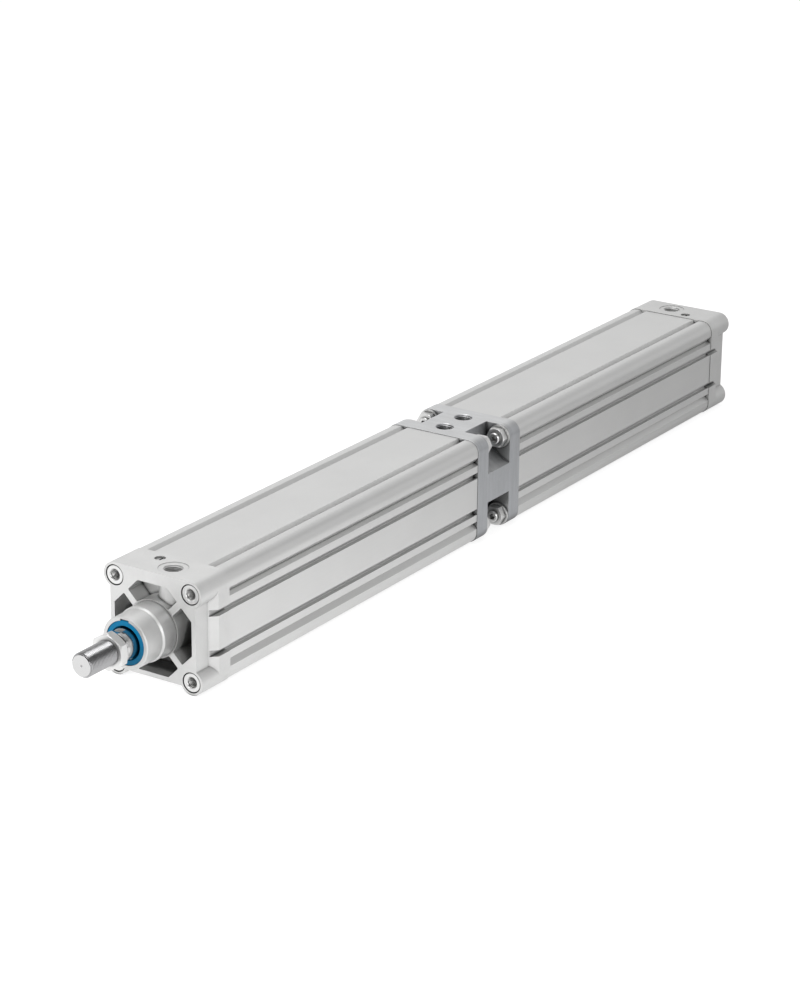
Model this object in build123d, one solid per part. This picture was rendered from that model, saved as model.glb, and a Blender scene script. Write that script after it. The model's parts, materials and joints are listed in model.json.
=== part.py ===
from build123d import *
import math
import os

os.makedirs("parts", exist_ok=True)

# Frame: millimetres, +X out along the piston rod, +Z up through the port faces.
# The origin is the centre of the front mounting face, and the rod is drawn back.

# Bore and profile barrel
BORE = 80.0
STROKE = 300.0
BARREL_WALL = 6.0
BARREL_CORNER_R = 10.0
GROOVE_START = 25.6
GROOVE_STEEP = 2.0
GROOVE_WIDTH = 6.9
GROOVE_DEPTH = 4.5
SLOT_OFFSET = 16.6
SLOT_MOUTH = 5.2
SLOT_INNER = 6.8
SLOT_LIP = 1.6
SLOT_DEPTH = 4.9
SLOT_CORNER_R = 0.8

# End caps
CAP_LEN = 35.5
CAP_OVERHANG = 0.5
SPIGOT_LEN = 12.0
RECESS_DEPTH = 5.9
RECESS_FLAT = 15.6
FACE_WALL = 3.8
POCKET_DEPTH = 25.0
TOP_POCKET_DEPTH = 17.0
POCKET_CORNER = 15.0
POCKET_FILLET = 1.2
RIB_WIDTH = 5.6
HUB_STEP = 1.3
PILOT_R = 22.5
FRONT_PILOT_LEN = 15.7
REAR_PILOT_LEN = 4.0
NOSE_LEN = 34.2
NOSE_STEP = 1.1
STEP_CHAMFER = 1.6
RIM_CHAMFER = 0.8
EDGE_CHAMFER = 0.6
NOTCH_WIDTH = 8.0
NOTCH_DEPTH = 1.5
NOTCH_RISE = 1.2

# Ports and cushion adjustment
PORT_R = 7.6
PORT_DEPTH = 14.0
PORT_CHAMFER = 0.8
PORT_X = 16.4
PORT_Y = 8.0
PORT_WALL = 3.9
PORT_PASSAGE_R = 5.0
SPOTFACE_R = 12.0
SPOTFACE_DEPTH = 0.4
NEEDLE_X = 26.5
NEEDLE_Y = 12.5
NEEDLE_R = 4.4
NEEDLE_TOP_DROP = 1.4
NEEDLE_LEN = 16.0
NEEDLE_STEM_R = 2.6
NEEDLE_TIP_R = 0.8
NEEDLE_TIP_LEN = 5.0
NEEDLE_SLOT_WIDTH = 1.4
NEEDLE_SLOT_DEPTH = 1.8
BYPASS_R = 1.5

# Cap screws with a female thread, studs and collar nuts
SCREW_R = 5.0
SCREW_GRIP = 20.0
SCREW_TAPER = 0.8
HEAD_R = 8.0
HEAD_LEN = 20.0
HEAD_BELOW_FACE = 0.2
COUNTERBORE_R = 8.5
FEMALE_R = 4.25
FEMALE_DEPTH = 17.0
FEMALE_CHAMFER = 0.8
NUT_FLATS = 16.0
NUT_HEIGHT = 8.0
NUT_COLLAR_R = 10.2
NUT_COLLAR_LEN = 2.0
STUD_PROUD = 2.5
SOCKET_FLATS = 5.0
SOCKET_DEPTH = 4.0

# Middle piece
MIDDLE_LEN = 68.0
FLANGE_LEN = 16.5
SCOOP_R = 35.0
SCOOP_OUT = 10.5
GLAND_SEAT_R = 34.0
GLAND_SEAT_LEN = 8.0
MIDDLE_PORT_PITCH = 30.0
MIDDLE_PASSAGE_R = 4.0
MIDDLE_PASSAGE_Z = 27.0

# Rod, pistons and cushions
ROD_R = 12.5
ROD_SHOULDER_X = 46.0
THREAD_R = 10.0
THREAD_LEN = 40.0
THREAD_CHAMFER = 1.5
CENTRE_DRILL_R = 1.0
WRENCH_FLATS = 22.0
WRENCH_LEN = 10.0
WRENCH_TURN = 17.0
JOIN_R = 8.0
JOIN_GRIP = 20.0
PISTON_LEN = 32.0
PISTON_EDGE = 2.5
PISTON_SEAL_LEN = 5.5
PISTON_SEAL_DEPTH = 5.0
GUIDE_LEN = 12.0
GUIDE_DEPTH = 2.0
MAGNET_LEN = 6.0
MAGNET_DEPTH = 4.0
CUSHION_R = 16.0
CUSHION_LEN = 24.0
CUSHION_CHAMFER = 2.0
CUSHION_ROOM = 3.0
CUSHION_SEAL_LEN = 6.0
CUSHION_SEAL_RISE = 5.0
CUSHION_LIP = 1.5
PISTON_NUT_FLATS = 24.0
PISTON_NUT_LEN = 8.0
PISTON_NUT_PROUD = 1.5

# Bearings and seals
BUSH_WALL = 1.5
FRONT_BUSH_LEN = 28.0
MIDDLE_BUSH_GAP = 1.0
BUSH_BACK = 10.0
BUSH_SHOULDER = 4.0
REAR_FLOOR = 10.0
ROD_SEAL_R = 18.0
ROD_SEAL_LEN = 13.9
WIPER_RECESS_R = 13.9
MIDDLE_SEAL_LEN = 7.5
O_RING_LEN = 3.0
O_RING_RISE = 2.3
O_RING_EDGE = 4.0

# Lock nut
LOCK_NUT_FLATS = 27.0
LOCK_NUT_LEN = 8.0
LOCK_NUT_TURN = 30.0
LOCK_NUT_SETBACK = 2.0
NUT_CHAMFER_ANGLE = 30.0

# Clearances
PRESS_GAP = 0.02
RUN_GAP = 0.05
LIP_GAP = 0.3
HOLE_GAP = 0.25
END_GAP = 0.5
SPIGOT_GAP = 0.05
SIDE_GAP = 0.1
OVER = 1.0

# Sizes that follow
BORE_R = BORE / 2
BARREL_HALF = BORE_R + BARREL_WALL
CAP_HALF = BARREL_HALF + CAP_OVERHANG
CAP_CORNER_R = BARREL_CORNER_R + CAP_OVERHANG
CORNER = BARREL_HALF - BARREL_CORNER_R
RECESS_HALF = CAP_HALF - RECESS_DEPTH
SPIGOT_R = BORE_R - SPIGOT_GAP
HUB_R = PILOT_R + HUB_STEP
NOSE_R = PILOT_R - NOSE_STEP
HOLE_R = SCREW_R + HOLE_GAP
CUSHION_BORE_R = CUSHION_R + CUSHION_ROOM
CUSHION_SEAL_R = CUSHION_R + CUSHION_SEAL_RISE
BUSH_R = ROD_R + RUN_GAP + BUSH_WALL
BARREL_LEN = STROKE + PISTON_LEN + 2 * SPIGOT_LEN + 2 * END_GAP
PISTON_PITCH = BARREL_LEN + MIDDLE_LEN

# Stations along X
FRONT_JOINT = -CAP_LEN
MIDDLE_FRONT = FRONT_JOINT - BARREL_LEN
MIDDLE_REAR = MIDDLE_FRONT - MIDDLE_LEN
MIDDLE_X = (MIDDLE_FRONT + MIDDLE_REAR) / 2
REAR_JOINT = MIDDLE_REAR - BARREL_LEN
REAR_FACE = REAR_JOINT - CAP_LEN
CAP_INNER = -CAP_LEN - SPIGOT_LEN
FRONT_PISTON = MIDDLE_FRONT + SPIGOT_LEN + END_GAP
REAR_PISTON = FRONT_PISTON - PISTON_PITCH
CHAMBER_FRONT = -BUSH_BACK - BUSH_SHOULDER
CHAMBER_REAR = -REAR_FLOOR


def bar(radius, x0, x1, y=0.0, z=0.0):
    """Round bar along X from x0 to x1."""
    solid = Cylinder(radius, abs(x1 - x0), align=(Align.CENTER, Align.CENTER, Align.MIN))
    return Pos(min(x0, x1), y, z) * Rot(0, 90, 0) * solid


def post(radius, x, y, z0, z1):
    """Round bar along Z from z0 up to z1."""
    return Pos(x, y, z0) * Cylinder(radius, z1 - z0, align=(Align.CENTER, Align.CENTER, Align.MIN))


def turned(points):
    """Solid turned about the X axis from (x, radius) points."""
    return revolve(make_face(Polyline(*points, close=True)), Axis.X)


def ring(inner, outer, x0, x1):
    """Plain ring about the X axis."""
    return turned([(x0, inner), (x0, outer), (x1, outer), (x1, inner)])


def prism(sketch, x0, x1):
    """Sketch drawn in the Y-Z plane, run along X from x0 to x1."""
    return extrude(Plane.YZ.offset(x0) * sketch, amount=x1 - x0)


def hexagon(flats):
    """Hexagon sketch with the given width across its flats."""
    return RegularPolygon(flats / 2, 6, major_radius=False)


def at_corners(solid):
    """Four copies, one on each screw axis."""
    places = [(y, z) for y in (-CORNER, CORNER) for z in (-CORNER, CORNER)]
    return [Pos(0, y, z) * solid for y, z in places]


def save(name, *solids):
    """Write one node, a single solid or a group of separate ones."""
    shape = solids[0] if len(solids) == 1 else Compound(children=list(solids))
    export_step(shape, f"parts/{name}.step")


# Profile barrel

def side_groove(side):
    """V groove of a barrel side, steep towards the middle; drawn for the side that faces up."""
    apex = GROOVE_START + GROOVE_STEEP
    floor = BARREL_HALF - GROOVE_DEPTH
    reach = 1 + OVER / GROOVE_DEPTH
    rise = GROOVE_DEPTH * reach
    gentle = GROOVE_WIDTH - GROOVE_STEEP
    points = [
        (side * apex, floor),
        (side * (apex - GROOVE_STEEP * reach), floor + rise),
        (side * (apex + gentle * reach), floor + rise),
    ]
    return make_face(Polyline(*points, close=True))


def sensor_slot(side):
    """T slot for sensors, drawn for the side that faces up."""
    x = side * SLOT_OFFSET
    mouth = Pos(x, BARREL_HALF) * Rectangle(SLOT_MOUTH, 2 * (SLOT_LIP + SLOT_CORNER_R))
    depth = SLOT_DEPTH - SLOT_LIP
    room = Pos(x, BARREL_HALF - SLOT_LIP - depth / 2) * RectangleRounded(SLOT_INNER, depth, SLOT_CORNER_R)
    return mouth + room


def barrel_section():
    """Outline of the extruded barrel with its bore, grooves, slots and screw channels."""
    section = RectangleRounded(2 * BARREL_HALF, 2 * BARREL_HALF, BARREL_CORNER_R)
    section -= Circle(BORE_R)
    for turn in (0, 90, 180, 270):
        for side in (-1, 1):
            section -= Rot(0, 0, turn) * side_groove(side)
    for turn in (90, 270):
        for side in (-1, 1):
            section -= Rot(0, 0, turn) * sensor_slot(side)
    for y in (-CORNER, CORNER):
        for z in (-CORNER, CORNER):
            section -= Pos(y, z) * Circle(SCREW_R + RUN_GAP)
    return section


def barrel(x0):
    """Barrel from x0 forward."""
    return prism(barrel_section(), x0, x0 + BARREL_LEN)


# End caps, drawn with the outer face at x = 0 and the barrel behind it

def side_recess():
    """Recess of a cap side between its corner bosses, with a sloped end; it faces +Y."""
    ramp = RECESS_FLAT + RECESS_DEPTH + OVER
    points = [
        (OVER, RECESS_HALF),
        (-RECESS_FLAT, RECESS_HALF),
        (-ramp, CAP_HALF + OVER),
        (OVER, CAP_HALF + OVER),
    ]
    cut = extrude(make_face(Polyline(*points, close=True)), amount=CORNER, both=True)
    for z in (-CORNER, CORNER):
        cut -= bar(CAP_CORNER_R, -ramp - OVER, 2 * OVER, CORNER, z)
    return cut


def slot_runouts():
    """The sensor slots carried on through the cap's rim, on both sides."""
    floor = BARREL_HALF - SLOT_DEPTH
    height = CAP_HALF + OVER - floor
    cuts = []
    for y in (-1, 1):
        for z in (-SLOT_OFFSET, SLOT_OFFSET):
            length = CAP_LEN - RECESS_FLAT
            box = Box(length, height, SLOT_MOUTH)
            cuts.append(Pos(-RECESS_FLAT - length / 2, y * (floor + height / 2), z) * box)
    return cuts


def face_pockets():
    """Four cast pockets between the hub, the ribs and the corner bosses; the top one is shallower."""
    half = RECESS_HALF - FACE_WALL
    reach = math.sqrt(2) * CORNER - POCKET_CORNER
    web = Rectangle(2 * half, 2 * half) & Rot(0, 0, 45) * Rectangle(2 * reach, 2 * reach)
    web -= Circle(HUB_R)
    for turn in (45, 135):
        web -= Rot(0, 0, turn) * Rectangle(4 * half, RIB_WIDTH)
    web = fillet(web.vertices(), POCKET_FILLET)
    cut = prism(web, -POCKET_DEPTH, OVER)
    top = make_face(Polyline((0, 0), (CAP_HALF, CAP_HALF), (-CAP_HALF, CAP_HALF), close=True))
    cut -= prism(top, -POCKET_DEPTH - OVER, -TOP_POCKET_DEPTH)
    return cut - post(PORT_R + PORT_WALL, -PORT_X, PORT_Y, 0, CAP_HALF)


def o_ring_groove(x0):
    """Groove round a spigot for its O-ring."""
    return ring(BORE_R - O_RING_RISE, BORE_R + OVER, x0, x0 + O_RING_LEN + 2 * SIDE_GAP)


def port(x, y, passage_end):
    """Port for a pipe thread with its chamfer and the passage below it."""
    mouth = Cone(PORT_R, PORT_R + PORT_CHAMFER + OVER, PORT_CHAMFER + OVER,
                 align=(Align.CENTER, Align.CENTER, Align.MIN))
    cut = post(PORT_R, x, y, CAP_HALF - PORT_DEPTH, CAP_HALF + OVER)
    cut += Pos(x, y, CAP_HALF - PORT_CHAMFER) * mouth
    return cut + post(PORT_PASSAGE_R, x, y, passage_end, CAP_HALF)


def needle_bore():
    """Stepped bore of the cushion needle and the bypass that it closes."""
    seat = CAP_HALF - NEEDLE_TOP_DROP - NEEDLE_LEN
    tip = seat - NEEDLE_TIP_LEN
    cut = post(NEEDLE_R + RUN_GAP, -NEEDLE_X, -NEEDLE_Y, seat, CAP_HALF + OVER)
    cut += post(NEEDLE_STEM_R + HOLE_GAP, -NEEDLE_X, -NEEDLE_Y, tip - END_GAP, seat)
    cut += post(BYPASS_R, -NEEDLE_X, -NEEDLE_Y, 0, seat)
    return cut + bar(BYPASS_R, CAP_INNER - OVER, -NEEDLE_X, -NEEDLE_Y, tip + BYPASS_R)


def cushion_room(floor):
    """Cushion chamber with the groove of its seal behind a lip; the floor is its outer end."""
    mouth = CAP_INNER + CUSHION_LIP
    cut = bar(CUSHION_R + CUSHION_LIP, CAP_INNER - OVER, mouth)
    cut += bar(CUSHION_SEAL_R, mouth, mouth + CUSHION_SEAL_LEN + 2 * SIDE_GAP)
    return cut + bar(CUSHION_BORE_R, mouth, floor)


def cap_blank(floor):
    """What both caps share."""
    body = prism(RectangleRounded(2 * CAP_HALF, 2 * CAP_HALF, CAP_CORNER_R), -CAP_LEN, 0)
    body += bar(SPIGOT_R, CAP_INNER, -CAP_LEN)
    for turn in (0, 180, -90):
        body -= Rot(turn, 0, 0) * side_recess()
    body -= slot_runouts()
    body -= face_pockets()
    body -= o_ring_groove(CAP_INNER + O_RING_EDGE)
    body -= at_corners(bar(COUNTERBORE_R, -HEAD_LEN - HEAD_BELOW_FACE, OVER))
    body -= at_corners(bar(HOLE_R, -CAP_LEN - OVER, -HEAD_LEN))
    body -= port(-PORT_X, PORT_Y, 0)
    body -= post(SPOTFACE_R, -PORT_X, PORT_Y, CAP_HALF - SPOTFACE_DEPTH, CAP_HALF + OVER)
    body -= needle_bore()
    return body - cushion_room(floor)


def front_cap():
    """Front cap with its centring collar, nose, bush seat and rod seal seat."""
    collar = turned([
        (-OVER, 0),
        (-OVER, PILOT_R),
        (FRONT_PILOT_LEN - STEP_CHAMFER, PILOT_R),
        (FRONT_PILOT_LEN, NOSE_R),
        (NOSE_LEN - RIM_CHAMFER, NOSE_R),
        (NOSE_LEN, NOSE_R - RIM_CHAMFER),
        (NOSE_LEN, 0),
    ])
    seal_back = NOSE_LEN - ROD_SEAL_LEN - SIDE_GAP
    body = cap_blank(CHAMBER_FRONT) + collar
    body -= bar(ROD_R + HOLE_GAP, CHAMBER_FRONT - OVER, NOSE_LEN + OVER)
    body -= bar(BUSH_R + PRESS_GAP, -BUSH_BACK, seal_back + OVER)
    body -= bar(ROD_SEAL_R, seal_back, NOSE_LEN + OVER)
    notch_top = ROD_SEAL_R + NOTCH_RISE
    notch = Box(2 * NOTCH_DEPTH, NOTCH_WIDTH, notch_top, align=(Align.CENTER, Align.CENTER, Align.MIN))
    return body - Pos(NOSE_LEN, 0, 0) * notch


def rear_cap():
    """Rear cap with its short centring spigot."""
    pilot = turned([
        (-OVER, 0),
        (-OVER, PILOT_R),
        (REAR_PILOT_LEN - EDGE_CHAMFER, PILOT_R),
        (REAR_PILOT_LEN, PILOT_R - EDGE_CHAMFER),
        (REAR_PILOT_LEN, 0),
    ])
    body = cap_blank(CHAMBER_REAR) + pilot
    return to_rear(body)


def to_rear(shape):
    """Carry a shape from the front cap's place to the rear cap's, turned round."""
    return Pos(REAR_FACE, 0, 0) * Rot(0, 0, 180) * shape


def cap_screw():
    """Cap screw whose head holds a female thread for mounting attachments."""
    front = -HEAD_BELOW_FACE
    shank_end = -CAP_LEN - SCREW_GRIP
    return turned([
        (shank_end, 0),
        (shank_end, SCREW_R - SCREW_TAPER),
        (shank_end + SCREW_TAPER, SCREW_R),
        (front - HEAD_LEN, SCREW_R),
        (front - HEAD_LEN, HEAD_R),
        (front - EDGE_CHAMFER, HEAD_R),
        (front, HEAD_R - EDGE_CHAMFER),
        (front, FEMALE_R + FEMALE_CHAMFER),
        (front - FEMALE_CHAMFER, FEMALE_R),
        (-FEMALE_DEPTH, FEMALE_R),
        (-FEMALE_DEPTH, 0),
    ])


def needle():
    """Cushion needle with a screwdriver slot, stem and tapered tip."""
    top = CAP_HALF - NEEDLE_TOP_DROP
    seat = top - NEEDLE_LEN
    body = post(NEEDLE_R, 0, 0, seat + RUN_GAP, top)
    tip = Cone(NEEDLE_TIP_R, NEEDLE_STEM_R, NEEDLE_TIP_LEN, align=(Align.CENTER, Align.CENTER, Align.MAX))
    body += Pos(0, 0, seat) * tip
    body += post(NEEDLE_STEM_R, 0, 0, seat, seat + OVER)
    slot = Box(3 * NEEDLE_R, NEEDLE_SLOT_WIDTH, 2 * NEEDLE_SLOT_DEPTH)
    return Pos(-NEEDLE_X, -NEEDLE_Y, 0) * (body - Pos(0, 0, top) * slot)


# Middle piece with its glands, studs and nuts

def middle_port(x, toward):
    """Port of the middle piece with the passage to the gland on its side."""
    face = MIDDLE_FRONT if toward > 0 else MIDDLE_REAR
    cut = port(x, 0, MIDDLE_PASSAGE_Z)
    return cut + bar(MIDDLE_PASSAGE_R, x, face + toward * OVER, 0, MIDDLE_PASSAGE_Z)


def middle_piece():
    """Block between the barrels: flanges, scooped corners, ports, bush bore and gland seats."""
    body = prism(RectangleRounded(2 * CAP_HALF, 2 * CAP_HALF, CAP_CORNER_R), MIDDLE_REAR, MIDDLE_FRONT)
    for y in (-1, 1):
        for z in (-1, 1):
            scoop = bar(SCOOP_R, MIDDLE_REAR + FLANGE_LEN, MIDDLE_FRONT - FLANGE_LEN)
            body -= Pos(0, y * (CAP_HALF + SCOOP_OUT), z * CAP_HALF) * scoop
    body -= at_corners(bar(HOLE_R, MIDDLE_REAR - OVER, MIDDLE_FRONT + OVER))
    body -= bar(BUSH_R + PRESS_GAP, MIDDLE_REAR - OVER, MIDDLE_FRONT + OVER)
    body -= bar(GLAND_SEAT_R, MIDDLE_FRONT - GLAND_SEAT_LEN, MIDDLE_FRONT + OVER)
    body -= bar(GLAND_SEAT_R, MIDDLE_REAR - OVER, MIDDLE_REAR + GLAND_SEAT_LEN)
    body -= middle_port(MIDDLE_X + MIDDLE_PORT_PITCH / 2, 1)
    return body - middle_port(MIDDLE_X - MIDDLE_PORT_PITCH / 2, -1)


def gland():
    """Gland towards the front barrel, with grooves for its O-ring and rod seal; at the joint x = 0."""
    body = bar(SPIGOT_R, 0, SPIGOT_LEN)
    body += bar(GLAND_SEAT_R - PRESS_GAP, PRESS_GAP - GLAND_SEAT_LEN, OVER)
    body -= o_ring_groove(SPIGOT_LEN - O_RING_EDGE - O_RING_LEN - 2 * SIDE_GAP)
    body -= bar(ROD_R + HOLE_GAP, -GLAND_SEAT_LEN - OVER, SPIGOT_LEN + OVER)
    body -= bar(ROD_SEAL_R, SPIGOT_LEN - MIDDLE_SEAL_LEN - SIDE_GAP, SPIGOT_LEN + OVER)
    return body - bar(MIDDLE_PASSAGE_R, -GLAND_SEAT_LEN - OVER, SPIGOT_LEN + OVER, 0, MIDDLE_PASSAGE_Z)


def stud():
    """Stud of the front flange: barrel end in front, socket end behind the nut; at the joint x = 0."""
    back = -FLANGE_LEN - NUT_HEIGHT - STUD_PROUD
    body = turned([
        (back, 0),
        (back, SCREW_R - SCREW_TAPER),
        (back + SCREW_TAPER, SCREW_R),
        (SCREW_GRIP - SCREW_TAPER, SCREW_R),
        (SCREW_GRIP, SCREW_R - SCREW_TAPER),
        (SCREW_GRIP, 0),
    ])
    return body - prism(hexagon(SOCKET_FLATS), back - OVER, back + SOCKET_DEPTH)


def collar_nut():
    """Hexagon nut with a round collar against the front flange; at the joint x = 0."""
    seat = -FLANGE_LEN
    end = seat - NUT_HEIGHT
    body = prism(hexagon(NUT_FLATS), end, seat) & chamfered_blank(NUT_FLATS, end, seat + NUT_HEIGHT)
    body += bar(NUT_COLLAR_R, seat - NUT_COLLAR_LEN, seat)
    return body - bar(SCREW_R + RUN_GAP, end - OVER, seat + OVER)


def chamfered_blank(flats, x0, x1):
    """Turned blank that rounds off the corners of a hexagon between x0 and x1."""
    corner = flats / math.sqrt(3)
    slope = (corner - flats / 2) * math.tan(math.radians(NUT_CHAMFER_ANGLE))
    return turned([
        (x0, 0),
        (x0, flats / 2),
        (x0 + slope, corner),
        (x1 - slope, corner),
        (x1, flats / 2),
        (x1, 0),
    ])


def at_front_joint(solid):
    """Carry a piece to the joint of the front barrel with the middle piece."""
    return Pos(MIDDLE_FRONT, 0, 0) * solid


def at_rear_joint(solid):
    """Carry a piece to the joint of the rear barrel with the middle piece, turned round."""
    return Pos(MIDDLE_REAR, 0, 0) * Rot(0, 0, 180) * solid


# Rod, pistons and cushions

def front_rod():
    """Front rod with its threaded end, wrench flats and the reduced end that joins the middle rod."""
    tip = ROD_SHOULDER_X + THREAD_LEN
    face = FRONT_PISTON + PISTON_LEN
    body = turned([
        (FRONT_PISTON - JOIN_GRIP, 0),
        (FRONT_PISTON - JOIN_GRIP, JOIN_R),
        (face, JOIN_R),
        (face, ROD_R),
        (ROD_SHOULDER_X - EDGE_CHAMFER, ROD_R),
        (ROD_SHOULDER_X, ROD_R - EDGE_CHAMFER),
        (ROD_SHOULDER_X, THREAD_R),
        (tip - THREAD_CHAMFER, THREAD_R),
        (tip, THREAD_R - THREAD_CHAMFER),
        (tip, CENTRE_DRILL_R),
        (tip - CENTRE_DRILL_R, 0),
    ])
    flat = Box(WRENCH_LEN, 2 * ROD_R, ROD_R, align=(Align.MAX, Align.CENTER, Align.MIN))
    for turn in (0, 180):
        place = Pos(ROD_SHOULDER_X, 0, 0) * Rot(turn + WRENCH_TURN, 0, 0) * Pos(0, 0, WRENCH_FLATS / 2)
        body -= place * flat
    return body


def middle_rod():
    """Middle rod: bored at the front for the front rod, reduced at the rear for the piston and nut."""
    face = REAR_PISTON + PISTON_LEN
    end = REAR_PISTON - CUSHION_LEN - PISTON_NUT_LEN - PISTON_NUT_PROUD
    body = turned([
        (end, 0),
        (end, JOIN_R - EDGE_CHAMFER),
        (end + EDGE_CHAMFER, JOIN_R),
        (face, JOIN_R),
        (face, ROD_R),
        (FRONT_PISTON, ROD_R),
        (FRONT_PISTON, 0),
    ])
    return body - bar(JOIN_R + PRESS_GAP, FRONT_PISTON - JOIN_GRIP - END_GAP, FRONT_PISTON + OVER)


def piston(x0):
    """Piston with seal grooves, a guide ring groove and a deeper magnet groove; its rear face is x0."""
    body = bar(BORE_R - END_GAP, x0, x0 + PISTON_LEN)
    body -= bar(JOIN_R + PRESS_GAP, x0 - OVER, x0 + PISTON_LEN + OVER)
    for start in piston_seal_starts(x0):
        floor = BORE_R - PISTON_SEAL_DEPTH - PRESS_GAP
        body -= ring(floor, BORE_R, start - SIDE_GAP, start + PISTON_SEAL_LEN + SIDE_GAP)
    mid = x0 + PISTON_LEN / 2
    guide_floor = BORE_R - GUIDE_DEPTH - PRESS_GAP
    body -= ring(guide_floor, BORE_R, mid - GUIDE_LEN / 2 - SIDE_GAP, mid + GUIDE_LEN / 2 + SIDE_GAP)
    magnet_floor = guide_floor - MAGNET_DEPTH - PRESS_GAP
    half = MAGNET_LEN / 2 + SIDE_GAP
    return body - ring(magnet_floor, BORE_R, mid - half, mid + half)


def piston_seal_starts(x0):
    """Rear edge of each piston seal."""
    return (x0 + PISTON_EDGE, x0 + PISTON_LEN - PISTON_EDGE - PISTON_SEAL_LEN)


def piston_seal(x0, faces):
    """Lip seal in its groove; its lip opens towards the pressure side, given by faces."""
    outer = BORE_R - RUN_GAP
    inner = BORE_R - PISTON_SEAL_DEPTH
    middle = (outer + inner) / 2
    length = PISTON_SEAL_LEN
    lip = length / 2
    points = [
        (0, inner),
        (length, inner),
        (length, middle - lip / 3),
        (length - lip, middle),
        (length, outer - lip / 3),
        (length - lip / 3, outer),
        (length / 3, outer),
        (0, outer - length / 3),
    ]
    solid = turned(points)
    if faces > 0:
        return Pos(x0, 0, 0) * solid
    return Pos(x0 + length, 0, 0) * Rot(0, 0, 180) * solid


def piston_seals(x0):
    """Both lip seals of a piston."""
    rear, front = piston_seal_starts(x0)
    return piston_seal(rear, -1), piston_seal(front, 1)


def guide_ring(x0):
    """Guide band round the middle of a piston."""
    start = x0 + (PISTON_LEN - GUIDE_LEN) / 2
    return ring(BORE_R - GUIDE_DEPTH, BORE_R - RUN_GAP, start, start + GUIDE_LEN)


def magnet(x0):
    """Sensor magnet under the guide band."""
    start = x0 + (PISTON_LEN - MAGNET_LEN) / 2
    outer = BORE_R - GUIDE_DEPTH - 2 * PRESS_GAP
    return ring(outer - MAGNET_DEPTH, outer, start, start + MAGNET_LEN)


def front_cushion_sleeve():
    """Cushion sleeve on the front rod, against the front piston."""
    start = FRONT_PISTON + PISTON_LEN
    end = start + CUSHION_LEN
    return turned([
        (start, ROD_R + PRESS_GAP),
        (start, CUSHION_R),
        (end - CUSHION_CHAMFER, CUSHION_R),
        (end, CUSHION_R - CUSHION_CHAMFER),
        (end, ROD_R + PRESS_GAP),
    ])


def rear_cushion_sleeve():
    """Cushion sleeve behind the rear piston, held by the piston nut."""
    end = REAR_PISTON - CUSHION_LEN
    return turned([
        (REAR_PISTON, JOIN_R + PRESS_GAP),
        (REAR_PISTON, CUSHION_R),
        (end + CUSHION_CHAMFER, CUSHION_R),
        (end, CUSHION_R - CUSHION_CHAMFER),
        (end, JOIN_R + PRESS_GAP),
    ])


def hex_nut(flats, x0, x1, bore, turn=0.0):
    """Hexagon nut, chamfered at both ends."""
    body = prism(hexagon(flats), x0, x1) & chamfered_blank(flats, x0, x1)
    return Rot(turn, 0, 0) * (body - bar(bore, x0 - OVER, x1 + OVER))


# Bushes and seals

def rod_wiper_seal():
    """Combined rod seal and wiper in the nose."""
    x0 = NOSE_LEN - ROD_SEAL_LEN
    x1 = NOSE_LEN - LIP_GAP
    outer = ROD_SEAL_R - PRESS_GAP
    lip = ROD_R + LIP_GAP
    mid = (x0 + x1) / 2
    relief = lip + 2 * BUSH_WALL / 3
    return turned([
        (x0, outer),
        (x1 - EDGE_CHAMFER, outer),
        (x1, outer - EDGE_CHAMFER),
        (x1, WIPER_RECESS_R),
        (x1 - RIM_CHAMFER * 4, WIPER_RECESS_R),
        (x1 - RIM_CHAMFER * 5, lip),
        (mid + OVER, lip),
        (mid, relief),
        (mid - OVER, relief),
        (mid - 2 * OVER, lip),
        (x0 + 2 * OVER, lip),
        (x0, relief),
    ])


def middle_rod_seal(faces):
    """Rod seal of a gland, its lip towards the barrel on its side."""
    outer = ROD_SEAL_R - PRESS_GAP
    lip = ROD_R + LIP_GAP
    groove = (outer + lip) / 2
    points = [
        (0, lip + OVER),
        (0, outer),
        (MIDDLE_SEAL_LEN, outer),
        (MIDDLE_SEAL_LEN, groove + OVER),
        (MIDDLE_SEAL_LEN / 2, groove),
        (MIDDLE_SEAL_LEN, groove - OVER),
        (MIDDLE_SEAL_LEN, lip + OVER / 2),
        (MIDDLE_SEAL_LEN - OVER, lip),
        (MIDDLE_SEAL_LEN / 2, lip + OVER),
    ]
    if faces > 0:
        return Pos(MIDDLE_FRONT + SPIGOT_LEN - MIDDLE_SEAL_LEN, 0, 0) * turned(points)
    return Pos(MIDDLE_REAR - SPIGOT_LEN + MIDDLE_SEAL_LEN, 0, 0) * Rot(0, 0, 180) * turned(points)


def front_bush():
    """Bearing bush of the front cap."""
    return ring(ROD_R + RUN_GAP, BUSH_R, -BUSH_BACK, -BUSH_BACK + FRONT_BUSH_LEN)


def middle_bush():
    """Bearing bush of the middle piece, between its two glands."""
    half = MIDDLE_LEN / 2 - GLAND_SEAT_LEN - MIDDLE_BUSH_GAP
    return ring(ROD_R + RUN_GAP, BUSH_R, MIDDLE_X - half, MIDDLE_X + half)


def o_ring(x0):
    """Static O-ring, flattened in its groove."""
    inner = BORE_R - O_RING_RISE + PRESS_GAP
    outer = BORE_R - PRESS_GAP
    edge = (outer - inner) / 3
    x1 = x0 + O_RING_LEN
    return Pos(SIDE_GAP, 0, 0) * turned([
        (x0 + edge, inner),
        (x0, inner + edge),
        (x0, outer - edge),
        (x0 + edge, outer),
        (x1 - edge, outer),
        (x1, outer - edge),
        (x1, inner + edge),
        (x1 - edge, inner),
    ])


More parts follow.
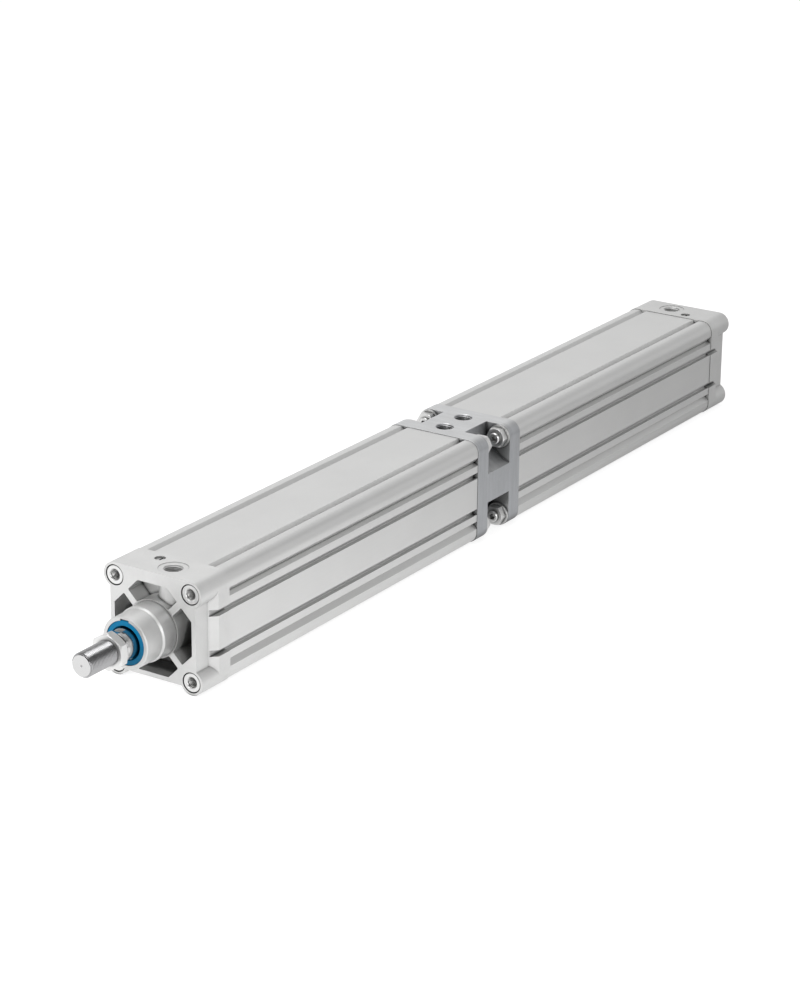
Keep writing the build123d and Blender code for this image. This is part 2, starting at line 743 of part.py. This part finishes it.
def cushion_seal():
    """Cushion seal behind the lip of a cap's chamber, drawn for the front cap."""
    x0 = CAP_INNER + CUSHION_LIP + SIDE_GAP
    return turned([
        (x0, CUSHION_R + LIP_GAP + OVER),
        (x0, CUSHION_SEAL_R - PRESS_GAP),
        (x0 + CUSHION_SEAL_LEN, CUSHION_SEAL_R - PRESS_GAP),
        (x0 + CUSHION_SEAL_LEN, CUSHION_R + LIP_GAP),
        (x0 + CUSHION_SEAL_LEN / 2, CUSHION_R + LIP_GAP),
    ])


def write_body():
    """The pieces that stand still."""
    save("front_cap", front_cap())
    save("front_barrel", barrel(MIDDLE_FRONT))
    save("middle_piece", middle_piece())
    save("middle_front_gland", at_front_joint(gland()))
    save("middle_rear_gland", at_rear_joint(gland()))
    save("rear_barrel", barrel(REAR_JOINT))
    save("rear_cap", rear_cap())
    save("front_cap_screws", *at_corners(cap_screw()))
    save("rear_cap_screws", *at_corners(to_rear(cap_screw())))
    save("front_flange_studs", *at_corners(at_front_joint(stud())))
    save("rear_flange_studs", *at_corners(at_rear_joint(stud())))
    save("front_flange_nuts", *at_corners(at_front_joint(collar_nut())))
    save("rear_flange_nuts", *at_corners(at_rear_joint(collar_nut())))


def write_seals():
    """Bushes and seals that stand still."""
    groove = CAP_INNER + O_RING_EDGE
    front = MIDDLE_FRONT + SPIGOT_LEN
    rear = MIDDLE_REAR - SPIGOT_LEN
    save("rod_wiper_seal", rod_wiper_seal())
    save("front_bush", front_bush())
    save("middle_bush", middle_bush())
    save("middle_rod_seals", middle_rod_seal(1), middle_rod_seal(-1))
    save("front_cap_o_ring", o_ring(groove))
    save("rear_cap_o_ring", to_rear(o_ring(groove)))
    front_groove = front - O_RING_EDGE - O_RING_LEN - 2 * SIDE_GAP
    save("middle_o_rings", o_ring(front_groove), o_ring(rear + O_RING_EDGE))
    save("front_cushion_seal", cushion_seal())
    save("rear_cushion_seal", to_rear(cushion_seal()))


def write_moving():
    """The pieces that move."""
    save("front_rod", front_rod())
    save("middle_rod", middle_rod())
    save("front_cushion_sleeve", front_cushion_sleeve())
    save("rear_cushion_sleeve", rear_cushion_sleeve())
    for name, x0 in (("front", FRONT_PISTON), ("rear", REAR_PISTON)):
        save(f"{name}_piston", piston(x0))
        save(f"{name}_piston_seals", *piston_seals(x0))
        save(f"{name}_guide_ring", guide_ring(x0))
        save(f"{name}_magnet", magnet(x0))
    nut_x = REAR_PISTON - CUSHION_LEN
    save("piston_nut", hex_nut(PISTON_NUT_FLATS, nut_x - PISTON_NUT_LEN, nut_x, JOIN_R + PRESS_GAP))
    lock_x = ROD_SHOULDER_X + LOCK_NUT_SETBACK
    bore = THREAD_R + RUN_GAP
    save("lock_nut", hex_nut(LOCK_NUT_FLATS, lock_x, lock_x + LOCK_NUT_LEN, bore, LOCK_NUT_TURN))
    save("front_needle", needle())
    save("rear_needle", to_rear(needle()))


write_body()
write_seals()
write_moving()
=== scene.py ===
import bpy
import bmesh
import json
import math
from mathutils import Matrix, Vector


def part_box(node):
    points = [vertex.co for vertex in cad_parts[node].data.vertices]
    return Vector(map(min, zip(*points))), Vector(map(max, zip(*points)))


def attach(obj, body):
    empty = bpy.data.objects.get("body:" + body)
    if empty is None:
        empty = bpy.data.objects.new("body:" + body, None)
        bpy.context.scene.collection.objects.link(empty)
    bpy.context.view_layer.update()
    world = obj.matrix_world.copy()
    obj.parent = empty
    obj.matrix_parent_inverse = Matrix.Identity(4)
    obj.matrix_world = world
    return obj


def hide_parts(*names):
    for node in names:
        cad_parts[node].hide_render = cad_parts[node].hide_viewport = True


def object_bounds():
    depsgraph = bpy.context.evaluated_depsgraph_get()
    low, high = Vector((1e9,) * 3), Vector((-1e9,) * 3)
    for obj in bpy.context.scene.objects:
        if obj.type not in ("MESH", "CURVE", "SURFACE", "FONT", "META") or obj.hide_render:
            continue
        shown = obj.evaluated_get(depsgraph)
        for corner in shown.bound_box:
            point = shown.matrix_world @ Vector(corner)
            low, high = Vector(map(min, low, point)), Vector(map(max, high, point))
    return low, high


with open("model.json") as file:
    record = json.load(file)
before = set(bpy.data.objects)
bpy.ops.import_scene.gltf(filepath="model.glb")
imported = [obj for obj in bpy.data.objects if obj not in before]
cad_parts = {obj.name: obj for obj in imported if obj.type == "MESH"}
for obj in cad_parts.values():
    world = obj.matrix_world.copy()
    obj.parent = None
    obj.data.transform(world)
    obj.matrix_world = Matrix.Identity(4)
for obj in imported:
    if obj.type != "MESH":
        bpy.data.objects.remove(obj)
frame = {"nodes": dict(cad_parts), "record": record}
cad_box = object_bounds()
NODES = frame["nodes"]

MM = 0.001

# Rounding of edges: radii in millimetres, angles in degrees, and the gap in metres that is welded
EDGES = {
    "front_cap": 0.35,
    "rear_cap": 0.35,
    "middle_piece": 0.3,
    "front_barrel": 0.2,
    "rear_barrel": 0.2,
    "lock_nut": 0.25,
}
SMALL_EDGE = 0.15
EDGE_ANGLE = 32
NUT_EDGE_ANGLE = 20
FLAT_ANGLE = 0.6
WELD_GAP = 0.000002

# Threads: outer radius, core radius and pitch in millimetres
ROD_THREAD_R = 10.0
ROD_THREAD_CORE = 9.1
ROD_THREAD_PITCH = 1.5
ROD_THREAD_CHAMFER = 1.5
ROD_THREAD_FLANK = 0.42
PORT_R = 7.6
PORT_CREST = 7.1
PORT_PITCH = 1.34
FEMALE_R = 4.25
FEMALE_CREST = 3.9
FEMALE_PITCH = 1.5
FEMALE_FROM = 0.9
FEMALE_TO = 16.6
FEMALE_STEPS = 32
RIDGE_SINK = 0.02

# Camera, found by fitting edges of the photograph
CAMERA_PLACE = Vector((1.63654, 1.29306, 0.87805))
CAMERA_AZIMUTH = 123.17
CAMERA_ELEVATION = 20.381
CAMERA_ROLL = 0.524
CAMERA_LENS = 106.66
CAMERA_SENSOR = 36.0

# Floor: side in metres, its glow to the camera, its grey, and its reflected glow between two X places
FLOOR_SIZE = 30.0
FLOOR_GLOW = 0.85
FLOOR_GREY = 0.30
FLOOR_FADE = (-1.0, 0.1, 0.25, 0.92)

# Light from the surroundings, and its reflected greys along three directions, multiplied
FILL = 0.5
SKY = ((0.0, 0.0, 1.0), ((0.0, 1.0), (0.38, 1.0), (0.55, 0.55), (0.8, 0.45), (1.0, 0.5)))
CAMERA_SIDE = ((0.80, 0.56, 0.20), ((0.0, 1.0), (0.25, 0.9), (0.6, 0.3), (1.0, 0.15)))
REAR_LEFT = ((-0.6, 0.8, 0.0), ((0.0, 1.0), (0.4, 1.0), (0.7, 0.76), (0.9, 0.72)))

# Lamps: place, target, size and power in watts
LAMPS = {
    "top_box": ((-0.2, -0.3, 1.9), (-0.35, 0, 0), (2.2, 1.2), 20),
    "side_box": ((0.9, 2.0, 0.7), (-0.1, 0, 0), (1.4, 1.0), 17),
    "front_box": ((2.0, -0.4, 0.8), (0, 0, 0), (1.0, 1.0), 15),
}

# Painted shade in recesses, by ambient occlusion on the base colour: reach in metres, (openness, grey)
# stops, and where the reach fades
CREVICE_SHADE = (0.003, [(0.35, 0.08), (0.92, 1.0)])
GROOVE_SHADE = (0.003, [(0.2, 0.10), (0.6, 1.0)])
POCKET_SHADE = (0.032, [(0.05, 0.10), (0.3, 0.55), (0.5, 1.0)], (("Z", -0.002, 0.016), ("X", -0.014, -0.001)))
SCOOP_SHADE = (0.030, [(0.08, 0.06), (0.45, 0.6), (0.7, 1.0)])
GLAND_SHADE = (0.015, [(0.25, 0.10), (0.75, 1.0)])
RECESS_SAMPLES = 8
FADED_SHARE = 1 / 12


# Nodes shared by materials and studio

def ramped(tree, fac, stops):
    """Colours or greys along a factor, as (position, colour) pairs."""
    node = tree.nodes.new("ShaderNodeValToRGB")
    items = node.color_ramp.elements
    while len(items) < len(stops):
        items.new(0.5)
    for item, (spot, colour) in zip(items, stops):
        item.position = spot
        item.color = (*colour, 1.0) if isinstance(colour, tuple) else (colour, colour, colour, 1.0)
    tree.links.new(fac, node.inputs["Fac"])
    return node.outputs["Color"]


def blended(tree, a, b, amount=1.0, kind="MULTIPLY"):
    """Blend of two colours or greys, by default their product."""
    node = tree.nodes.new("ShaderNodeMix")
    node.data_type = "RGBA"
    node.blend_type = kind
    node.inputs["Factor"].default_value = amount
    tree.links.new(a, node.inputs["A"])
    tree.links.new(b, node.inputs["B"])
    return node.outputs["Result"]


def computed(tree, operation, *values):
    """Result of a math node for linked values."""
    node = tree.nodes.new("ShaderNodeMath")
    node.operation = operation
    for socket, value in zip(node.inputs, values):
        tree.links.new(value, socket)
    return node.outputs["Value"]


def mapped(tree, value, limits, interpolation="LINEAR"):
    """Value taken from one range to another, given as from min, from max, to min and to max."""
    node = tree.nodes.new("ShaderNodeMapRange")
    node.interpolation_type = interpolation
    for socket, limit in zip(("From Min", "From Max", "To Min", "To Max"), limits):
        node.inputs[socket].default_value = limit
    tree.links.new(value, node.inputs["Value"])
    return node.outputs["Result"]


def component(tree, vector, axis):
    """One component of a vector."""
    node = tree.nodes.new("ShaderNodeSeparateXYZ")
    tree.links.new(vector, node.inputs["Vector"])
    return node.outputs[axis]


# Node materials

class Shader:
    """Small helper that adds nodes to one material and links them."""

    def __init__(self, name):
        self.material = bpy.data.materials.new(name)
        self.material.use_nodes = True
        self.tree = self.material.node_tree
        self.nodes = self.tree.nodes
        self.links = self.tree.links
        self.nodes.clear()
        out = self.nodes.new("ShaderNodeOutputMaterial")
        self.bsdf = self.nodes.new("ShaderNodeBsdfPrincipled")
        self.links.new(self.bsdf.outputs["BSDF"], out.inputs["Surface"])
        places = self.nodes.new("ShaderNodeTexCoord").outputs
        self.coords = places["Object"]
        self.normal = places["Normal"]

    def set(self, **values):
        """Set inputs of the surface shader, with underscores for spaces."""
        for key, value in values.items():
            self.bsdf.inputs[key.replace("_", " ")].default_value = value

    def feed(self, output, name):
        """Link an output to an input of the surface shader."""
        self.links.new(output, self.bsdf.inputs[name])

    def noise(self, scale, detail=3.0, roughness=0.55, stretch=(1, 1, 1)):
        """Noise whose cells are drawn out along an axis by stretch."""
        mapping = self.nodes.new("ShaderNodeMapping")
        mapping.inputs["Scale"].default_value = stretch
        self.links.new(self.coords, mapping.inputs["Vector"])
        noise = self.nodes.new("ShaderNodeTexNoise")
        noise.inputs["Scale"].default_value = scale
        noise.inputs["Detail"].default_value = detail
        noise.inputs["Roughness"].default_value = roughness
        self.links.new(mapping.outputs["Vector"], noise.inputs["Vector"])
        return noise.outputs["Fac"]

    def bands(self, axis, pitch, distortion=0.0):
        """Fine bands across an axis, at a pitch in metres."""
        wave = self.nodes.new("ShaderNodeTexWave")
        wave.bands_direction = axis
        wave.inputs["Scale"].default_value = 0.314 / pitch
        wave.inputs["Distortion"].default_value = distortion
        wave.inputs["Detail"].default_value = 1.0
        self.links.new(self.coords, wave.inputs["Vector"])
        return wave.outputs["Fac"]

    def ramp(self, fac, stops):
        """Colours or greys along a factor, as (position, colour) pairs."""
        return ramped(self.tree, fac, stops)

    def mix(self, a, b, amount=0.5):
        """Mix of two colours or greys."""
        return blended(self.tree, a, b, amount, "MIX")

    def painted_side_shade(self, stops):
        """Greys by how far a face looks along Y, for painted shade on the sides."""
        return self.ramp(computed(self.tree, "ABSOLUTE", component(self.tree, self.normal, "Y")), stops)

    def bump(self, height, distance, strength=1.0):
        """Relief of the surface, with its depth in metres."""
        node = self.nodes.new("ShaderNodeBump")
        node.inputs["Distance"].default_value = distance
        node.inputs["Strength"].default_value = strength
        self.links.new(height, node.inputs["Height"])
        self.feed(node.outputs["Normal"], "Normal")

    def shaded(self, colour, reach, stops, fades=()):
        """Colour darkened by painted shade where walls stand within reach, in metres, by (openness, grey)
        stops.

        With fades, as (axis, from, to), only the piece's own walls count, and less along each axis.
        """
        recess = self.nodes.new("ShaderNodeAmbientOcclusion")
        recess.samples = RECESS_SAMPLES
        recess.only_local = bool(fades)
        recess.inputs["Distance"].default_value = reach
        full = reach
        distance = None
        for axis, start, end in fades:
            place = component(self.tree, self.coords, axis)
            share = mapped(self.tree, place, (start, end, full, full * FADED_SHARE))
            distance = share if distance is None else computed(self.tree, "MULTIPLY", distance, share)
            full = 1.0
        if distance is not None:
            self.links.new(distance, recess.inputs["Distance"])
        return blended(self.tree, colour, self.ramp(recess.outputs["AO"], stops))

    def tint(self, fac, colour, amount, recesses=(), facing_shade=None):
        """Base colour that varies with a factor by a share, times a painted shade by facing where one is
        given, and darkened by painted shade in recesses.
        """
        low = tuple(c * (1 - amount) for c in colour)
        high = tuple(min(1.0, c * (1 + amount)) for c in colour)
        shade = self.ramp(fac, [(0.3, low), (0.7, high)])
        if facing_shade is not None:
            shade = blended(self.tree, shade, facing_shade)
        for recess in recesses:
            shade = self.shaded(shade, *recess)
        self.feed(shade, "Base Color")

    def roughen(self, fac, low, high, start=0.3):
        """Roughness between two values along a factor."""
        self.feed(self.ramp(fac, [(start, low), (1 - start, high)]), "Roughness")


def cast_aluminium():
    """Die cast and shot-blasted: fine even grain, with painted shade in crevices and pockets."""
    s = Shader("cast_aluminium")
    s.set(Metallic=0.75)
    s.tint(s.noise(60, 4), (0.68, 0.68, 0.675), 0.03, (CREVICE_SHADE, POCKET_SHADE))
    s.roughen(s.noise(420, 3), 0.44, 0.52)
    s.bump(s.noise(2600, 2, 0.6), 0.00003, 0.35)
    return s.material


def anodised_aluminium():
    """Extruded and clear anodised: faint draw lines along the barrel, with painted shade in narrow grooves
    and slots.
    """
    s = Shader("anodised_aluminium")
    s.set(Metallic=0.8)
    lines = s.noise(900, 2, 0.5, (0.004, 1, 1))
    s.tint(s.mix(lines, s.noise(25, 3)), (0.68, 0.68, 0.675), 0.03, (GROOVE_SHADE,))
    s.roughen(lines, 0.38, 0.46)
    s.bump(s.mix(lines, s.noise(3200, 2)), 0.00002, 0.3)
    return s.material


def milled_aluminium():
    """Milled from bar, with tool marks and a light speckle; painted shade darkens crevices and scoops, and
    the faces that look along Y, with a slight blue tint.
    """
    s = Shader("milled_aluminium")
    s.set(Metallic=0.85)
    streaks = s.noise(260, 4, 0.65, (1.0, 0.12, 0.12))
    speckle = s.noise(1500, 2, 0.6)
    # Painted shade: faces that look along Y are made darker and slightly bluish
    sides = s.painted_side_shade([(0.3, 1.0), (0.85, (0.70, 0.71, 0.73))])
    s.tint(s.mix(streaks, speckle, 0.35), (0.62, 0.625, 0.63), 0.16, (CREVICE_SHADE, SCOOP_SHADE), sides)
    s.roughen(streaks, 0.32, 0.46)
    s.bump(s.mix(streaks, speckle, 0.3), 0.00003, 0.35)
    return s.material


def zinc_steel():
    """Bright zinc on steel, nearly even, with painted shade in crevices."""
    s = Shader("zinc_steel")
    s.set(Metallic=1.0)
    s.tint(s.noise(90, 2), (0.72, 0.72, 0.715), 0.03, (CREVICE_SHADE,))
    s.roughen(s.noise(120, 2), 0.32, 0.37)
    return s.material


def chromed_steel():
    """Hard chromed and polished rod with the faintest turning marks, and painted shade inside its gland."""
    s = Shader("chromed_steel")
    s.set(Metallic=1.0)
    rings = s.noise(1500, 2, 0.5, (1.0, 0.02, 0.02))
    s.tint(rings, (0.60, 0.60, 0.60), 0.03, (GLAND_SHADE,))
    s.roughen(rings, 0.10, 0.18)
    s.bump(rings, 0.00001, 0.2)
    return s.material


def cut_thread():
    """Cut steel thread, darker than the chrome, with turned marks."""
    s = Shader("cut_thread")
    s.set(Metallic=1.0)
    marks = s.noise(1800, 2, 0.5, (1.0, 0.1, 0.1))
    s.tint(marks, (0.36, 0.36, 0.365), 0.06)
    s.roughen(marks, 0.16, 0.22)
    return s.material


def turned_aluminium():
    """Turned pistons and sleeves."""
    s = Shader("turned_aluminium")
    s.set(Metallic=0.9)
    rings = s.bands("X", 0.0004, 0.5)
    s.tint(s.noise(200, 3), (0.66, 0.66, 0.65), 0.05)
    s.roughen(rings, 0.28, 0.40, 0.2)
    s.bump(rings, 0.00001, 0.4)
    return s.material


def blue_polyurethane():
    """Smooth blue seal with a soft gloss."""
    s = Shader("blue_polyurethane")
    s.set(Specular_IOR_Level=0.3, IOR=1.45)
    s.tint(s.noise(260, 4), (0.0, 0.21, 0.43), 0.10)
    s.roughen(s.noise(800, 3), 0.30, 0.42)
    s.bump(s.noise(1400, 3), 0.00003, 0.25)
    return s.material


def black_rubber():
    """Moulded black seals."""
    s = Shader("black_rubber")
    s.tint(s.noise(400, 3), (0.018, 0.018, 0.019), 0.25)
    s.roughen(s.noise(900, 3), 0.45, 0.6)
    s.bump(s.noise(1600, 3), 0.00004, 0.4)
    return s.material


def black_plastic():
    """Guide bands and bonded magnets."""
    s = Shader("black_plastic")
    s.tint(s.noise(500, 3), (0.03, 0.03, 0.032), 0.2)
    s.roughen(s.noise(700, 3), 0.4, 0.55)
    s.bump(s.noise(2200, 2), 0.00002, 0.3)
    return s.material


def sintered_bronze():
    """Bearing bushes."""
    s = Shader("sintered_bronze")
    s.set(Metallic=0.9)
    s.tint(s.noise(1200, 3), (0.42, 0.27, 0.12), 0.2)
    s.roughen(s.noise(900, 3), 0.35, 0.5)
    s.bump(s.noise(2400, 3), 0.00004, 0.5)
    return s.material


FINISHES = {
    "cast_aluminium": cast_aluminium(),
    "anodised_aluminium": anodised_aluminium(),
    "machined_aluminium": milled_aluminium(),
    "piston_aluminium": turned_aluminium(),
    "zinc_steel": zinc_steel(),
    "chromed_rod": chromed_steel(),
    "cut_thread": cut_thread(),
    "blue_seal": blue_polyurethane(),
    "black_rubber": black_rubber(),
    "black_plastic": black_plastic(),
    "bronze_bush": sintered_bronze(),
}


# The frame's own nodes

def weld(obj):
    """Join the doubled points of a CAD mesh."""
    modifier = obj.modifiers.new("weld", "WELD")
    modifier.merge_threshold = WELD_GAP


def soften(obj, width, angle=EDGE_ANGLE):
    """Round the edges of a hard surfaced object a little and shade it smooth, with its flats flat."""
    for polygon in obj.data.polygons:
        polygon.use_smooth = True
    weld(obj)
    flat = obj.modifiers.new("flat", "DECIMATE")
    flat.decimate_type = "DISSOLVE"
    flat.angle_limit = math.radians(FLAT_ANGLE)
    bevel = obj.modifiers.new("bevel", "BEVEL")
    bevel.width = width
    bevel.segments = 2
    bevel.limit_method = "ANGLE"
    bevel.angle_limit = math.radians(angle)
    even = obj.modifiers.new("even", "WEIGHTED_NORMAL")
    even.weight = 100


def dress_nodes():
    """Give every node its material and softened edges."""
    for entry in frame["record"]["subparts"]:
        obj = NODES[entry["node"]]
        obj.data.materials.clear()
        obj.data.materials.append(FINISHES[entry["material_slot"]])
        angle = NUT_EDGE_ANGLE if "nut" in entry["node"] else EDGE_ANGLE
        soften(obj, EDGES.get(entry["node"], SMALL_EDGE) * MM, angle)


# Pieces of the scene's own

def linked(obj):
    """Put an object in the scene."""
    bpy.context.scene.collection.objects.link(obj)
    return obj


def spun(x, radius, angle):
    """Point at an angle about the X axis, from millimetres to metres."""
    return (x * MM, radius * math.cos(angle) * MM, radius * math.sin(angle) * MM)


def built(name, bm):
    """Object with a finished mesh, its faces turned outwards."""
    bmesh.ops.recalc_face_normals(bm, faces=bm.faces)
    mesh = bpy.data.meshes.new(name)
    bm.to_mesh(mesh)
    bm.free()
    return linked(bpy.data.objects.new(name, mesh))


def helix(name, root, crest, pitch, start, end, limit=None, steps=56, flank=0.38):
    """Thread ridge about the X axis; limit caps the radius near an end, flank is a share of the pitch."""
    bm = bmesh.new()
    section = ((0.0, root), (flank, crest), (1.0 - flank, crest), (1.0, root))
    count = int((end - start - pitch) / pitch * steps)
    last = None
    for i in range(count + 1):
        angle = 2 * math.pi * i / steps
        x0 = start + pitch * i / steps
        row = []
        for share, radius in section:
            x = x0 + share * pitch
            r = min(radius, limit(x)) if limit else radius
            row.append(bm.verts.new(spun(x, r, angle)))
        if last:
            for k in range(len(section) - 1):
                bm.faces.new((last[k], last[k + 1], row[k + 1], row[k]))
        else:
            bm.faces.new(row)
        last = row
    bm.faces.new(reversed(last))
    return built(name, bm)


def tube(name, inner, outer, x0, x1, sides=96):
    """Thick tube about the X axis, in millimetres."""
    bm = bmesh.new()
    angles = [2 * math.pi * i / sides for i in range(sides)]
    rings = []
    for x, radius in ((x0, inner), (x0, outer), (x1, outer), (x1, inner)):
        rings.append([bm.verts.new(spun(x, radius, angle)) for angle in angles])
    for k in range(4):
        a, b = rings[k], rings[(k + 1) % 4]
        for i in range(sides):
            j = (i + 1) % sides
            bm.faces.new((a[i], a[j], b[j], b[i]))
    return built(name, bm)


def place(obj, matrix, body, slot, finish=None):
    """Put a new piece in its place on a body, with the finish of its slot or one of its own."""
    obj.data.transform(matrix)
    obj.data.materials.append(FINISHES[finish or slot])
    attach(obj, body)


def baked(obj):
    """Replace an object's modifiers by the mesh that they give."""
    graph = bpy.context.evaluated_depsgraph_get()
    mesh = bpy.data.meshes.new_from_object(obj.evaluated_get(graph))
    obj.modifiers.clear()
    obj.data = mesh


def threaded_rod():
    """The front rod with its threaded end cut down to the thread's core, and the thread on it."""
    thick = [v.co.x for v in NODES["front_rod"].data.vertices if v.co.yz.length > (ROD_THREAD_R + 0.5) * MM]
    start = max(thick) / MM
    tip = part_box("front_rod")[1].x / MM
    rod = linked(bpy.data.objects.new("piston_rod", NODES["front_rod"].data.copy()))
    cutter = tube("thread_cutter", ROD_THREAD_CORE, ROD_THREAD_R + 2, start, tip + 1)
    weld(rod)
    cut = rod.modifiers.new("cut", "BOOLEAN")
    cut.operation = "DIFFERENCE"
    cut.solver = "EXACT"
    cut.object = cutter
    bpy.context.view_layer.update()
    baked(rod)
    bpy.data.objects.remove(cutter)
    rod.data.materials.append(FINISHES["cut_thread"])
    for polygon in rod.data.polygons:
        polygon.material_index = int(start * MM < polygon.center.x < (tip - 0.1) * MM)
    soften(rod, SMALL_EDGE * MM)
    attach(rod, "rod")
    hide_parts("front_rod")

    def chamfer(x):
        return max(ROD_THREAD_CORE - 0.1, tip - x + ROD_THREAD_R - ROD_THREAD_CHAMFER)

    thread = helix("rod_thread", ROD_THREAD_CORE - 0.05, ROD_THREAD_R - 0.01, ROD_THREAD_PITCH,
                   start, tip - 0.3, chamfer, flank=ROD_THREAD_FLANK)
    place(thread, Matrix.Identity(4), "rod", "chromed_rod", "cut_thread")


def port_threads():
    """Threads inside the four ports."""
    upright = Matrix.Rotation(-math.pi / 2, 4, "Y")
    for mount in frame["record"]["mounts"]:
        if mount["kind"] != "threaded_hole":
            continue
        half = mount["dims"]["length_mm"] / 2
        ridge = helix(f"{mount['name']}_thread", PORT_R + RIDGE_SINK, PORT_CREST, PORT_PITCH, -half, half)
        slot = "machined_aluminium" if mount["name"].startswith("middle") else "cast_aluminium"
        place(ridge, Matrix.Translation(mount["pos_m"]) @ upright, "cylinder", slot)


def screw_threads():
    """Female threads in the heads of the eight cap screws."""
    for end in ("front", "rear"):
        mount = next(m for m in frame["record"]["mounts"] if m["name"] == f"{end}_bolts")
        low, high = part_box(f"{end}_cap_screws")
        mouth = high.x if end == "front" else low.x
        turn = Matrix.Rotation(math.pi if end == "front" else 0, 4, "Z")
        dy = mount["dims"]["spacing_x_mm"] / 2 * MM
        dz = mount["dims"]["spacing_y_mm"] / 2 * MM
        for i, (y, z) in enumerate(((dy, dz), (-dy, dz), (-dy, -dz), (dy, -dz))):
            ridge = helix(f"{end}_screw_thread_{i}", FEMALE_R + RIDGE_SINK, FEMALE_CREST, FEMALE_PITCH,
                          FEMALE_FROM, FEMALE_TO, steps=FEMALE_STEPS)
            place(ridge, Matrix.Translation((mouth, y, z)) @ turn, "cylinder", "zinc_steel")


# Studio

def ray_kinds(tree):
    """Factors that are 1 for rays of the camera, also through glass, and for reflected rays."""
    path = tree.nodes.new("ShaderNodeLightPath")
    direct = computed(tree, "MAXIMUM", path.outputs["Is Camera Ray"], path.outputs["Is Transmission Ray"])
    return direct, path.outputs["Is Glossy Ray"]


def background(tree, strength=1.0):
    """White light from the surroundings."""
    node = tree.nodes.new("ShaderNodeBackground")
    node.inputs["Color"].default_value = (1, 1, 1, 1)
    node.inputs["Strength"].default_value = strength
    return node


def chosen(tree, fac, first, second):
    """The first shader where a factor is 0, the second where it is 1."""
    node = tree.nodes.new("ShaderNodeMixShader")
    tree.links.new(fac, node.inputs["Fac"])
    tree.links.new(first.outputs[0], node.inputs[1])
    tree.links.new(second.outputs[0], node.inputs[2])
    return node


def studio_world():
    """White behind the object; reflections see a bright horizon, a greyer ceiling and a dim camera side."""
    world = bpy.data.worlds.new("studio")
    world.use_nodes = True
    bpy.context.scene.world = world
    tree = world.node_tree
    tree.nodes.clear()
    out = tree.nodes.new("ShaderNodeOutputWorld")
    direct, glossy = ray_kinds(tree)
    coords = tree.nodes.new("ShaderNodeTexCoord")
    shade = None
    for axis, stops in (SKY, CAMERA_SIDE, REAR_LEFT):
        dot = tree.nodes.new("ShaderNodeVectorMath")
        dot.operation = "DOT_PRODUCT"
        dot.inputs[1].default_value = axis
        tree.links.new(coords.outputs["Generated"], dot.inputs[0])
        grey = ramped(tree, dot.outputs["Value"], stops)
        shade = grey if shade is None else blended(tree, shade, grey)
    mirror = background(tree)
    tree.links.new(shade, mirror.inputs["Color"])
    lighting = chosen(tree, glossy, background(tree, FILL), mirror)
    tree.links.new(chosen(tree, direct, lighting, background(tree)).outputs[0], out.inputs["Surface"])


def studio_floor():
    """Pale floor under the object that keeps a soft shadow; its reflection dims towards the rear."""
    mesh = bpy.data.meshes.new("floor")
    half = FLOOR_SIZE / 2
    level = cad_box[0].z
    corners = [(x, y, level) for x, y in ((-half, -half), (half, -half), (half, half), (-half, half))]
    mesh.from_pydata(corners, [], [(0, 1, 2, 3)])
    floor = linked(bpy.data.objects.new("floor", mesh))
    material = bpy.data.materials.new("floor")
    material.use_nodes = True
    tree = material.node_tree
    tree.nodes.clear()
    out = tree.nodes.new("ShaderNodeOutputMaterial")
    direct, glossy = ray_kinds(tree)
    position = tree.nodes.new("ShaderNodeNewGeometry").outputs["Position"]
    seen = tree.nodes.new("ShaderNodeMix")
    tree.links.new(direct, seen.inputs["Factor"])
    tree.links.new(mapped(tree, component(tree, position, "X"), FLOOR_FADE, "SMOOTHSTEP"), seen.inputs["A"])
    seen.inputs["B"].default_value = FLOOR_GLOW
    rays = computed(tree, "MAXIMUM", direct, glossy)
    glow = tree.nodes.new("ShaderNodeEmission")
    tree.links.new(computed(tree, "MULTIPLY", rays, seen.outputs["Result"]), glow.inputs["Strength"])
    diffuse = tree.nodes.new("ShaderNodeBsdfDiffuse")
    diffuse.inputs["Color"].default_value = (FLOOR_GREY, FLOOR_GREY, FLOOR_GREY, 1)
    add = tree.nodes.new("ShaderNodeAddShader")
    tree.links.new(glow.outputs[0], add.inputs[0])
    tree.links.new(diffuse.outputs[0], add.inputs[1])
    tree.links.new(add.outputs[0], out.inputs["Surface"])
    mesh.materials.append(material)


def studio_lamps():
    """Overhead softbox, a side box towards the rod end and a weak front box."""
    for name, (location, target, size, power) in LAMPS.items():
        data = bpy.data.lights.new(name, "AREA")
        data.shape = "RECTANGLE"
        data.size, data.size_y = size
        data.energy = power
        lamp = linked(bpy.data.objects.new(name, data))
        lamp.location = location
        lamp.rotation_euler = (Vector(target) - Vector(location)).to_track_quat("-Z", "Y").to_euler()


def studio_camera():
    """Camera at the photograph's place."""
    azimuth = math.radians(CAMERA_AZIMUTH)
    elevation = math.radians(CAMERA_ELEVATION)
    roll = math.radians(CAMERA_ROLL)
    flat = math.cos(elevation)
    back = Vector((math.sin(azimuth) * flat, -math.cos(azimuth) * flat, math.sin(elevation)))
    level = Vector((0, 0, 1)).cross(back).normalized()
    upright = back.cross(level)
    right = level * math.cos(roll) + upright * math.sin(roll)
    up = upright * math.cos(roll) - level * math.sin(roll)
    data = bpy.data.cameras.new("camera")
    data.lens = CAMERA_LENS
    data.sensor_width = CAMERA_SENSOR
    data.clip_start = 0.05
    data.clip_end = 100
    camera = linked(bpy.data.objects.new("camera", data))
    camera.matrix_world = Matrix.Translation(CAMERA_PLACE) @ Matrix((right, up, back)).transposed().to_4x4()
    bpy.context.scene.camera = camera


dress_nodes()
threaded_rod()
port_threads()
screw_threads()
studio_world()
studio_floor()
studio_lamps()
studio_camera()
bpy.context.scene.view_settings.view_transform = "Standard"
